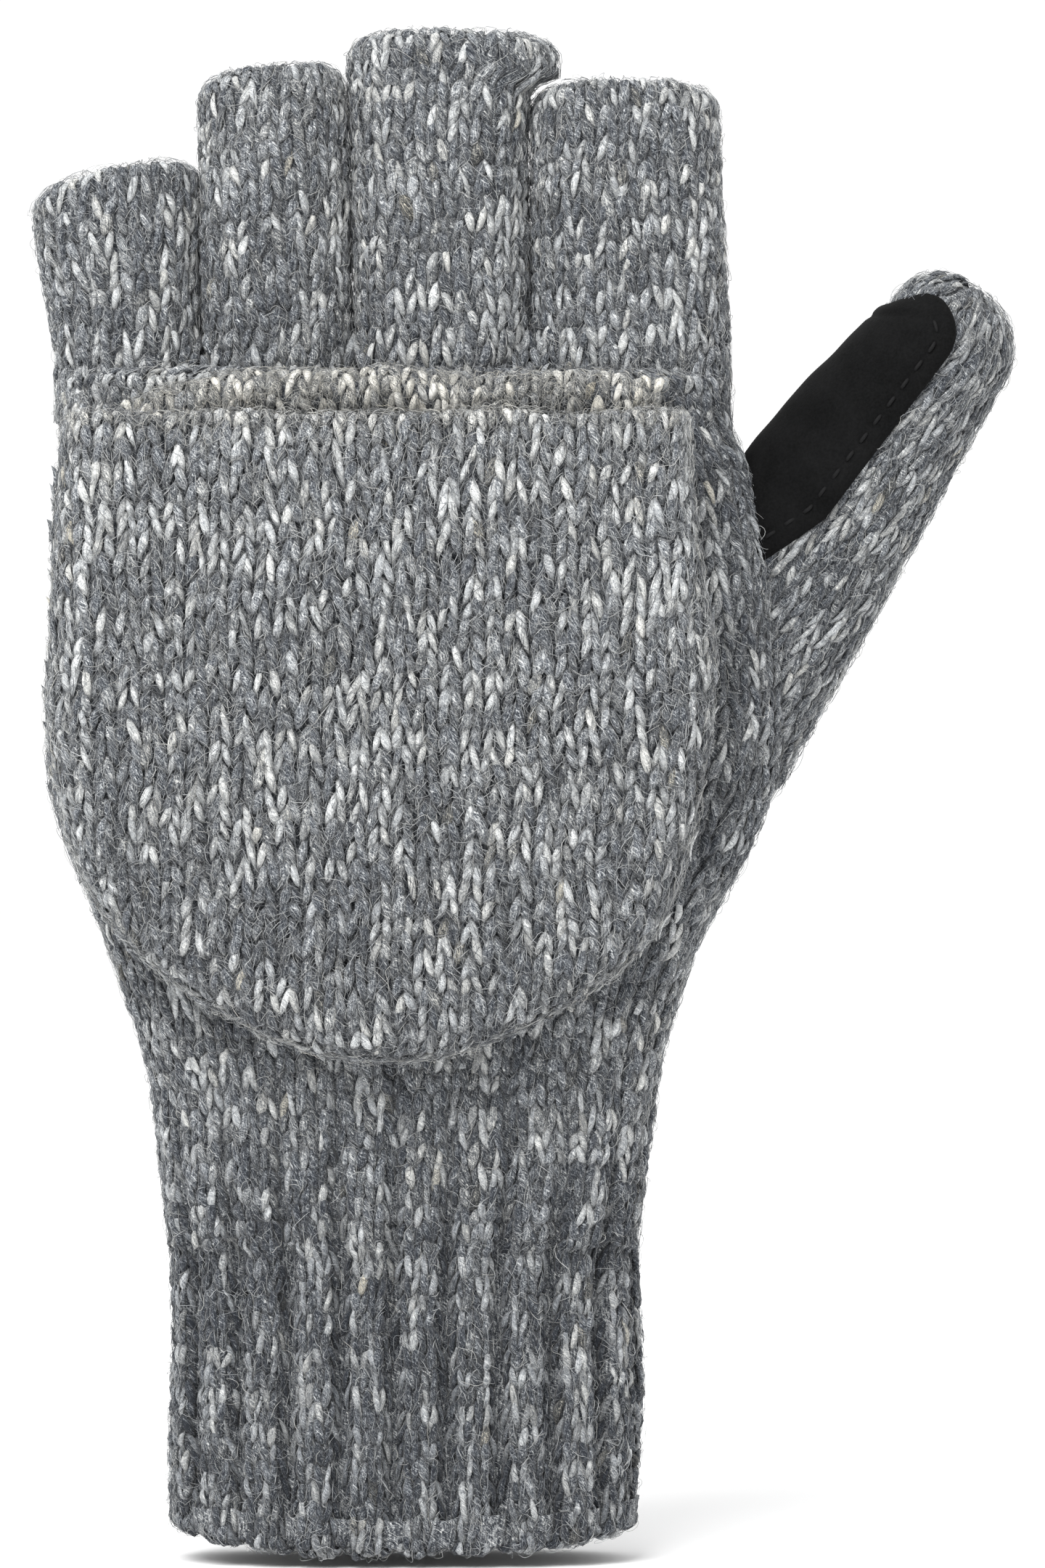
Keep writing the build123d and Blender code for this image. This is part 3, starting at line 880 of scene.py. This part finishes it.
def knit(name, surface, u, v, nodes, body=None, bend=None, per=8, wall=None, yarn=WOOL, hair=1.0,
         **leg_settings):
    """Stitches, and their tufts and loose hairs in pieces of their own: the knit and its fuzz."""
    parts = [legs(surface, u, v, name, **leg_settings)]
    if wall is not None:
        parts.append(wall)
    obj = make_object(name + "_knit", parts, [yarn, BACKING][:len(parts)])
    finish_piece(obj, body, nodes, bend)
    fuzz_looks = {"warmth": leg_settings.get("warmth", WARMTH), "shade": leg_settings.get("shade", 0.0)}
    layers = math.ceil(per * len(u) / MOST_TUFTS)
    for layer in range(1, layers):
        more = tufts(surface, u, v, per // layers, f"{name}_tufts_{layer}", **fuzz_looks)
        obj = make_object(f"{name}_down_{layer}", [more], [FIBRE])
        finish_piece(obj, body, (), bend)
    fuzz = [tufts(surface, u, v, per // layers, name + "_tufts", **fuzz_looks)]
    draw = dice(name + "_places")
    count = int(len(u) * hair)
    pick = draw.integers(0, len(u), count)
    hair_u = u[pick] + draw.uniform(-0.5, 0.5, count)
    hair_v = v[pick] + draw.uniform(0, 1, count)
    fuzz.append(hairs(surface, hair_u, hair_v, name + "_hairs", fuzz_looks["warmth"] + 0.08))
    obj = make_object(name + "_fuzz", fuzz, [FIBRE, FIBRE])
    finish_piece(obj, body, (), bend)


def build_hand():
    """Cuff edge, cuff and hand, all on one tube so that the wales run through."""
    tube = Tube(hand_rings(), HAND_WALES, "hand", swell=0.5, relief=rib_relief)
    lift_hem(tube)
    total = int(tube.courses())
    heights = tube.point(np.zeros(total), np.arange(total).astype(float))[:, 2]
    cuff_first = 3
    cuff_last = int(np.argmax(heights > CUFF_TOP))
    lower_last = int(np.argmax(heights > LOWER_HAND_TOP))

    u, v = tube_lattice(HAND_WALES, 1, cuff_first)
    wall = wall_behind(tube, (0, HAND_WALES), (0.2, 3.5), 264, 16, depths=HEM_WALL)
    # painted shade: the cuff's edge is darkened overall, and more in its furrows
    knit("cuff_edge", tube, u, v, ["cuff_welt"], "hand", per=9, wall=wall, yarn=RIB_WOOL_PAINTED_SHADE, width=0.95,
         light=0.34, shade=-0.05 - FURROW_PAINTED_SHADE * furrow(u))

    u, v = tube_lattice(HAND_WALES, cuff_first, cuff_last)
    wall = wall_behind(tube, (0, HAND_WALES), (3.5, cuff_last + 1.0), 264, 44, bumps=0.25)
    # painted shade: the cuff is darkened overall, and more in its furrows
    knit("cuff", tube, u, v, ["ribbed_cuff"], "hand", per=9, wall=wall, yarn=RIB_WOOL_PAINTED_SHADE, width=0.9,
         light=0.36, shade=-0.06 - FURROW_PAINTED_SHADE * furrow(u))

    u, v = tube_lattice(HAND_WALES, cuff_last, lower_last)
    wall = wall_behind(tube, (0, HAND_WALES), (cuff_last + 1.0, total - 0.2), 160, 90, bumps=0.2)
    # painted shade: the lower hand darkens towards the cuff, below the cap's tip, and its fading furrows
    # are darker still
    fade = np.clip((RIB_FADE[1] - heights[v.astype(int)]) / (RIB_FADE[1] - RIB_FADE[0]), 0, 1)
    knit("hand_lower", tube, u, v, ["hand_shell"], "hand", wall=wall, light=0.3, per=9,
         shade=-0.03 - fade * (0.12 + FURROW_PAINTED_SHADE * furrow(u)))

    u, v = tube_lattice(HAND_WALES, lower_last, total)
    back = (u < HAND_WALES / 4) | (u > HAND_WALES * 3 / 4)
    # painted shade: the back's thumb-side half, beside the cap, is made darker than the rest
    shaded_thumb_side = u[back] < HAND_WALES / 2
    knit("hand_back", tube, u[back], v[back], ["hand_shell"], "hand", per=12,
         shade=np.where(shaded_thumb_side, -0.08, -0.02))
    knit("hand_palm", tube, u[~back], v[~back], ["hand_shell"], "hand", per=6)


# ------------------------------------------------------------------ finger stalls
def finger_tube(name):
    """Half finger from inside the hand, up and over its open end."""
    stations = FINGERS[name]
    base, top = stations[0], stations[-1][0]
    rings = []
    for height in np.arange(base[0] - 9.0, base[0], 1.5):
        flare = ((base[0] - height) / 9.0) ** 2
        depth = base[3] + (HAND[-1][3] - 0.4 - base[3]) * flare
        middle, half = (base[1] + base[2]) / 2, (base[2] - base[1]) / 2
        rings.append(level_ring(middle, height, half, depth, FINGER_POWER))
    rows = oval_stations(stations, 34, FINGER_POWER)
    rings += [level_ring(*row) for row in rows if row[1] < top - LIP]
    middle, _, half, depth, power = rows[-1]
    for height, inset in lip_rows(top, 1.0)[::-1]:
        rings.append(level_ring(middle, height, half - inset, depth - inset, power))
    tube = Tube(rings, FINGER_WALES[name], name + "_tube", swell=0.25)
    place = tube.grid
    side = (place[..., 0] - middle) / half
    share = np.clip((place[..., 2] - base[0]) / (top - base[0]), 0, 1)
    slant = FINGER_SLANT[name] * (place[..., 0] - middle) * share
    place[..., 2] += slant - 2.4 * np.abs(side) ** 4 * share**3
    over = np.clip((place[..., 2] - (top - 8.4)) / 1.8, 0, 1)
    place[..., 0] += FINGER_LEANS_OVER[name] * eased(over) * np.clip(side, 0, 1)
    return tube


def build_finger(name):
    """Half finger and its cast-off edge."""
    wales = FINGER_WALES[name]
    tube = finger_tube(name)
    total = int(tube.courses())
    edge_first = total - int((LIP_INSIDE + LIP * np.pi) / COURSE) - 1
    body = name + "_finger"
    bend = ("hand", body, (0, 0, KNUCKLE - 7.0), (0, 0, KNUCKLE + 9.0))

    u, v = tube_lattice(wales, 0, edge_first)
    wall = wall_behind(tube, (0, wales), (0.1, edge_first + 0.6), wales * 4, 60, bumps=0.3)
    knit(name + "_stall", tube, u, v, [name + "_stall"], bend=bend, wall=wall, per=13, light=0.3)

    u, v = tube_lattice(wales, edge_first, total)
    rim = wall_behind(tube, (0, wales), (edge_first + 0.6, total - 0.1), wales * 4, 18, depths=LIP_WALL)
    knit(name + "_cast_off", tube, u, v, [name + "_bind_off"], body, wall=rim, rise=0.85, per=12)


# ------------------------------------------------------------------ between the fingers
def build_web(first, second):
    """Picked-up stitches in the groove between two fingers, on the back and on the palm."""
    middle = (FINGERS[first][0][2] + FINGERS[second][0][1]) / 2
    parts = []
    for side in (-1.0, 1.0):
        def groove(u, v, side=side):
            x = middle - side * u * WALE * 0.7
            z = KNUCKLE - 3.0 + v * COURSE * 0.8
            y = side * (8.8 - 1.4 * np.clip(v, 0, 3) + 0.9 * u**2)
            return np.stack([x, y, z], axis=-1)
        surface = Strip(groove)
        u, v = lattice([-0.5, 0.5], [0.0, 1.0, 2.0])
        # painted shade: the stitches in the groove between two fingers are darkened
        parts.append(legs(surface, u, v, f"web_{first}_{side}", rise=0.9, shade=-0.08))
        parts.append(tufts(surface, u, v, 8, f"web_tufts_{first}_{side}"))
    obj = make_object(f"web_{first}_{second}_knit", parts, [WOOL, FIBRE] * 2)
    finish_piece(obj, "hand", [f"crotch_web_{first}_{second}"])


# ------------------------------------------------------------------ thumb
THUMB_AXIS = np.array([math.sin(THUMB_LEAN), 0.0, math.cos(THUMB_LEAN)])
THUMB_ACROSS = np.array([math.cos(THUMB_LEAN), 0.0, -math.sin(THUMB_LEAN)])
THUMB_GIVES = ("hand", "thumb", *(tuple(THUMB_TIP + THUMB_AXIS * place) for place in THUMB_BEND))


def thumb_half_sizes(along):
    """Half width and half depth of the thumb, at a distance along it from the tip's centre."""
    share = np.clip(-along / THUMB_LENGTH, 0, 1)
    width = THUMB_TIP_RADIUS + (THUMB_ROOT[0] - THUMB_TIP_RADIUS) * share
    depth = THUMB_TIP_RADIUS + (THUMB_ROOT[1] - THUMB_TIP_RADIUS) * share
    ball = np.clip(1 - (np.maximum(along, 0) / THUMB_TIP_RADIUS) ** 2.3, 0, 1) ** (1 / 2.3)
    return width * ball - thumb_shift(along), depth * ball


def thumb_shift(along):
    """How far the middle of the thumb moves outwards near its tip, where the inner side slopes in."""
    share = np.clip((along + 20.0) / 24.0, 0, 1) * np.clip((THUMB_TIP_RADIUS - along) / 9.0, 0, 1)
    return TIP_SLOPE / 2 * eased(share)


def build_thumb():
    """Closed thumb, knitted up to its round tip."""
    rings = []
    places = list(np.arange(-THUMB_LENGTH, 0.0, 2.0))
    places += list(THUMB_TIP_RADIUS * np.sin(np.linspace(0, np.pi / 2 - 0.03, 14)))
    for along in places:
        width, depth = thumb_half_sizes(along)
        middle = THUMB_TIP + THUMB_AXIS * along + THUMB_ACROSS * thumb_shift(along)
        rings.append((middle, THUMB_ACROSS, (0.0, 1.0, 0.0), width, depth, THUMB_POWER))
    tube = Tube(rings, THUMB_WALES, "thumb_tube", swell=0.2)
    total = int(tube.courses())
    u, v = tube_lattice(THUMB_WALES, 3, total)
    keep = (v < total - 3) | ((v < total - 1) & (u % 2 < 1)) | (u % 4 < 1)
    wall = wall_behind(tube, (0, THUMB_WALES), (0.1, total - 0.05), 72, 60)
    knit("thumb", tube, u[keep], v[keep], ["thumb_stall"], bend=THUMB_GIVES, wall=wall, per=11, rise=0.9,
         width=0.85, light=0.3, shade=-0.05)


def patch_reach(along, inset=0.0):
    """How far round the thumb the patch reaches each way, as an angle from its inner side."""
    edge = PATCH_EDGE + along * math.tan(PATCH_TILT)
    edge = edge - PATCH_HEEL_SLOPE * np.maximum(PATCH_HEEL - along, 0)
    corner = PATCH_CORNER - inset
    over = np.clip(along - (PATCH_TOP - PATCH_CORNER), 0, corner)
    edge = edge - PATCH_CORNER + np.sqrt(corner**2 - over**2) - thumb_shift(along)
    width, _ = thumb_half_sizes(along)
    return np.arccos(np.clip(-edge / width, -1, 1))


def top_droop(side, along):
    """Place along the thumb once the patch's top has dipped. side goes from -1 to 1 across it."""
    share = np.clip((along + 6.0) / (PATCH_TOP + 6.0), 0, 1) ** 2
    return along - PATCH_DROOP * (1 - side**2) ** 2 * share


def on_thumb(turn, along, height):
    """Point on the thumb: turn from its inner side to the palm, distance along it, height over it."""
    width, depth = thumb_half_sizes(along)
    middle = THUMB_TIP + THUMB_AXIS * along[..., None] + THUMB_ACROSS * thumb_shift(along)[..., None]
    out = -np.cos(turn)[..., None] * THUMB_ACROSS + np.sin(turn)[..., None] * np.array([0.0, 1.0, 0.0])
    out = out + np.maximum(along, 0)[..., None] / THUMB_TIP_RADIUS * THUMB_AXIS
    spot = middle - (width * np.cos(turn))[..., None] * THUMB_ACROSS
    spot = spot + (depth * np.sin(turn))[..., None] * np.array([0.0, 1.0, 0.0])
    return spot + unit(out) * height[..., None]


def build_patch():
    """Suede patch wrapped round the inner side of the thumb, and the stitches that hold it."""
    side = np.sin(np.linspace(-1, 1, 61) * np.pi / 2)
    rise = np.sin(np.linspace(-0.2, 1, 71) * np.pi / 2)
    along = PATCH_BOTTOM + (PATCH_TOP - PATCH_BOTTOM) * (rise - rise[0]) / (1 - rise[0])
    side, along = np.meshgrid(side, along)
    reach = patch_reach(along)
    along = top_droop(side, along)
    edge = np.minimum((1 - np.abs(side)) * reach * THUMB_TIP_RADIUS, top_droop(side, PATCH_TOP) - along)
    seam = np.exp(-(((edge - SEAM_INSET) / 0.55) ** 2))
    pressed = 1 - np.minimum(edge / 2.2, 1.0)
    crown = PATCH_THICKNESS * (0.12 + 0.88 * np.sqrt(np.clip(1 - pressed**2, 0, 1)))
    crown = crown - 0.28 * seam + 0.12 * waves(along, side * 14.0, "suede", 9.0)
    outer = on_thumb(side * reach, along, crown + 0.15)
    inner = on_thumb(side * reach, along, np.zeros_like(along) - 0.1)
    obj = make_object("thumb_suede", [joined_sheets(outer, inner, wrap=False)], [SUEDE])
    finish_piece(obj, None, ["thumb_patch"], THUMB_GIVES)

    along = np.linspace(PATCH_BOTTOM + 14.0, PATCH_TOP - SEAM_INSET - 0.3, 1200)[::-1]
    row_turn = patch_reach(along, SEAM_INSET)
    along = top_droop(row_turn / patch_reach(along), along)
    spots = []
    for turn_side in (-1.0, 1.0):
        line = on_thumb(turn_side * row_turn, along, np.full(len(along), PATCH_THICKNESS + 0.12))
        run = run_along(line)
        for start in np.arange(0.8, run[-1] - THREAD_LENGTH, THREAD_PITCH):
            stops = start + THREAD_LENGTH * np.linspace(0, 1, 7)
            spots.append(np.stack([np.interp(stops, run, line[:, k]) for k in range(3)], axis=1))
    paths = np.array(spots)
    middle = THUMB_TIP + ((paths - THUMB_TIP) @ THUMB_AXIS)[..., None] * THUMB_AXIS
    lifts = unit(paths - middle)
    paths = paths - lifts * (0.35 * np.array([1, 0.35, 0.05, 0, 0.05, 0.35, 1]))[None, :, None]
    thick = np.tile([0.1, 0.26, 0.3, 0.3, 0.3, 0.26, 0.1], (len(paths), 1))
    shade = np.tile([0.2, 0.5, 0.0], (len(paths), 1))
    threads = strands(paths, lifts, thick, thick, 6, 2.5, shade, "threads")
    obj = make_object("thumb_topstitching", [threads], [THREAD])
    finish_piece(obj, None, ["thumb_patch_stitching"], THUMB_GIVES)


# ------------------------------------------------------------------ flip cap
CAP_OPENS = ("cap_back", "cap_front", (0, CAP_BACK_Y - 2.4, 0), (0, CAP_LOW[1] + 2.6, 0))


def pouch_wall(outline, facing, top, rows=60, columns=70):
    """Dark fabric behind the stitches of one face of the cap."""
    sheets = []
    for inset in (WALL_OUTSIDE, WALL):
        left, right = outline.moved_in(inset)
        tip = left[-1, 1]
        z = tip + (top - tip) * np.linspace(0, 1, rows) ** 1.6
        x_left = np.interp(z, left[::-1, 1], left[::-1, 0])
        x_right = np.interp(z, right[::-1, 1], right[::-1, 0])
        across = 0.5 - 0.5 * np.cos(np.pi * np.linspace(0, 1, columns))
        x = x_left[:, None] + (x_right - x_left)[:, None] * across[None]
        z = np.repeat(z[:, None], columns, axis=1)
        radius = CAP_ROUND - inset
        deep = np.clip(outline.inside(x, z)[0] - inset, 0, radius)
        depth = np.sqrt(np.maximum(radius**2 - (radius - deep) ** 2, 0))
        sheets.append(np.stack([x, CAP_MIDDLE_Y + facing * depth, z], axis=-1))
    if facing > 0:
        sheets = [sheet[:, ::-1] for sheet in sheets]
    return joined_sheets(sheets[0], sheets[1], wrap=False)


def side_seam(outline):
    """The edge stitch where the two faces of the cap meet, as a strip that follows the outline."""
    run = run_along(outline.line)

    def formula(u, v):
        stop = np.clip(v * COURSE, 0, run[-1])
        turn = u * WALE / CAP_ROUND
        inset = CAP_ROUND * (1 - np.cos(turn))
        x, z = (
            np.interp(stop, run, outline.line[:, k]) + np.interp(stop, run, outline.inward[:, k]) * inset
            for k in range(2)
        )
        return np.stack([x, CAP_MIDDLE_Y + CAP_ROUND * np.sin(turn), z], axis=-1)

    return Strip(formula), run[-1] / COURSE


def build_cap():
    """Both faces of the pouch, its side seam and its rim."""
    outline = CapOutline()
    wales = int((CAP_HIGH[0] - CAP_LOW[0]) / WALE / 2) + 3
    front = Pouch(outline, -1.0, 1.2, "cap_front")
    back = Pouch(outline, 1.0, -0.6, "cap_back")
    mouth = front.course_at(CAP_MOUTH - RIM_HEIGHT)
    u, v = lattice(np.arange(-wales, wales) + 0.5, np.arange(int(mouth) + 5))
    # each face's last course, and how many tufts and hairs a stitch of it has
    faces = [("front", front, mouth - 0.5, 24, 1.0), ("back", back, mouth + 0.4, 6, 0.7)]
    for name, surface, top, per, hair in faces:
        # painted light and shade: the cap's upper courses are made lighter and its lower part darker, as
        # the light falls from above
        height = surface.start + v * COURSE
        painted_top_light = 0.05 * np.clip((height - 150.0) / 18.0, 0, 1)
        shade = 0.02 + painted_top_light - 0.06 * np.clip((125.0 - height) / 40.0, 0, 1)
        clear = (surface.run_in(u, v + 0.5) > 0.55 * WALE) & (surface.run_in(u, v) > 0)
        body = clear & (v < top)
        wall = pouch_wall(outline, surface.facing, CAP_MOUTH - 1.0)
        knit("cap_" + name, surface, u[body], v[body], [f"cap_{name}_layer"], bend=CAP_OPENS, wall=wall,
             per=per, light=0.36, hair=hair, shade=shade[body])
    rim = (front.run_in(u, v + 0.5) > 0.55 * WALE) & (v >= mouth - 0.5) & (v < mouth + 3.0)
    # painted light: the rim is knitted in the lighter wool and lightened a little more
    knit("cap_rim", front, u[rim], v[rim], ["cap_mouth_rim"], bend=CAP_OPENS, yarn=EDGE_WOOL_PAINTED_LIGHT,
         per=20, hair=8.0, light=0.36, warmth=0.25, shade=0.04, width=0.95)

    seam, length = side_seam(outline)
    v = np.arange(int(length) - 1) + 0.4
    knit("cap_side", seam, 0 * v, v, [], bend=CAP_OPENS, per=26, hair=9.0, light=0.3, warmth=0.15)


SEAM_SAG = 5.0           # how far the little-finger end of the ridge hangs
SEAM_TALLER = 1.2        # than the CAD seam, above and below its middle
SEAM_LOWER = 1.0         # than the CAD seam's middle
SEAM_BACK = -13.0        # y of the ridge's back edges, inside the hand
SEAM_COURSES = 4


def build_hinge_seam():
    """Rounded ridge of picked-up stitches that the cap hangs from."""
    middle = (SEAM_LOW[0] + SEAM_HIGH[0]) / 2
    half_height = (SEAM_HIGH[2] - SEAM_LOW[2]) / 2 + SEAM_TALLER
    level = (SEAM_HIGH[2] + SEAM_LOW[2]) / 2 - SEAM_LOWER
    wales = int((SEAM_HIGH[0] - SEAM_LOW[0]) / WALE / 2)

    def ridge(u, v):
        x = middle + u * WALE
        turn = np.clip(v / SEAM_COURSES, -0.1, 1.1) * np.pi - np.pi / 2
        ends = np.clip((wales + 0.5 - np.abs(u)) / 2.5, 0, 1) ** 0.5
        sag = np.where(u < 0, SEAM_SAG, 0.25 * SEAM_SAG)
        sag = sag * np.clip(2 * np.abs(u) / wales - 1, 0, 1.2) ** 1.5
        y = SEAM_BACK - (SEAM_BACK - SEAM_LOW[1]) * np.cos(turn) * (0.45 + 0.55 * ends)
        y = y + 0.3 * waves(x, 0 * x, "ridge", 17.0)
        z = level + half_height * np.sin(turn) - sag + 0.5 * waves(x, 0 * x, "ridge_z", 15.0)
        return np.stack([x, y, z], axis=-1)

    surface = Strip(ridge)
    u, v = lattice(np.arange(-wales, wales) + 0.5, np.arange(SEAM_COURSES))
    wall = wall_behind(surface, (-wales, wales), (0.0, SEAM_COURSES), 100, 12, wrap=False)
    # painted light: the ridge's stitches are lightened, with more pale legs, over the shade between it
    # and the cap's rim
    knit("hinge_seam", surface, u, v - 0.2, ["cap_hinge_seam"], "hand", yarn=EDGE_WOOL_PAINTED_LIGHT, wall=wall, per=20,
         hair=10.0, light=0.4, warmth=0.4, shade=0.09)


# ------------------------------------------------------------------ floor, light and camera
def build_stage():
    """Plain pale floor."""
    bpy.ops.mesh.primitive_plane_add(size=12.0, location=(0, 0, -0.0016))
    floor = bpy.context.object
    floor.name = "floor"
    paint = Paint("pale_floor", 0.9, 0.1)
    paint.looks["Base Color"].default_value = (0.96, 0.96, 0.96, 1)
    floor.data.materials.append(paint.material)


def area_light(name, place, target, size, power):
    """Soft square light aimed at a point."""
    light = bpy.data.lights.new(name, "AREA")
    light.shape = "SQUARE"
    light.size = size
    light.energy = power
    obj = bpy.data.objects.new(name, light)
    obj.location = place
    obj.rotation_euler = (Vector(target) - Vector(place)).to_track_quat("-Z", "Y").to_euler()
    bpy.context.scene.collection.objects.link(obj)


def build_light():
    """Even white surroundings with one soft key light from the upper left."""
    world = bpy.data.worlds.new("studio")
    bpy.context.scene.world = world
    world.use_nodes = True
    background = world.node_tree.nodes["Background"]
    background.inputs["Color"].default_value = (1.0, 1.0, 1.0, 1)
    background.inputs["Strength"].default_value = 1.05
    area_light("key", (-0.45, -0.95, 1.15), (0, 0, 0.12), 1.0, 24.0)
    bpy.context.scene.view_settings.view_transform = "Standard"


PICTURE_HEIGHT = 1.0325      # of the mitten's own height
CAMERA_DISTANCE = 1.15
CAMERA_RAISED = 0.0007       # over the mitten's middle, so that it stands where the photo has it
SENSOR = 36.0


def build_camera():
    """Level camera in front of the back of the hand."""
    low, high = CAD_BOX
    camera = bpy.data.cameras.new("camera")
    obj = bpy.data.objects.new("camera", camera)
    camera.sensor_fit = "VERTICAL"
    camera.sensor_height = SENSOR
    camera.lens = SENSOR * CAMERA_DISTANCE / ((high[2] - low[2]) * PICTURE_HEIGHT)
    middle_x, middle_z = (low[0] + high[0]) / 2, (low[2] + high[2]) / 2
    obj.location = (middle_x, -CAMERA_DISTANCE, middle_z + CAMERA_RAISED)
    obj.rotation_euler = (math.pi / 2, 0, 0)
    bpy.context.scene.collection.objects.link(obj)
    bpy.context.scene.camera = obj


build_hand()
for finger in FINGERS:
    build_finger(finger)
names = list(FINGERS)
for first_finger, second_finger in zip(names, names[1:]):
    build_web(first_finger, second_finger)
build_thumb()
build_patch()
build_cap()
build_hinge_seam()
build_stage()
build_light()
build_camera()
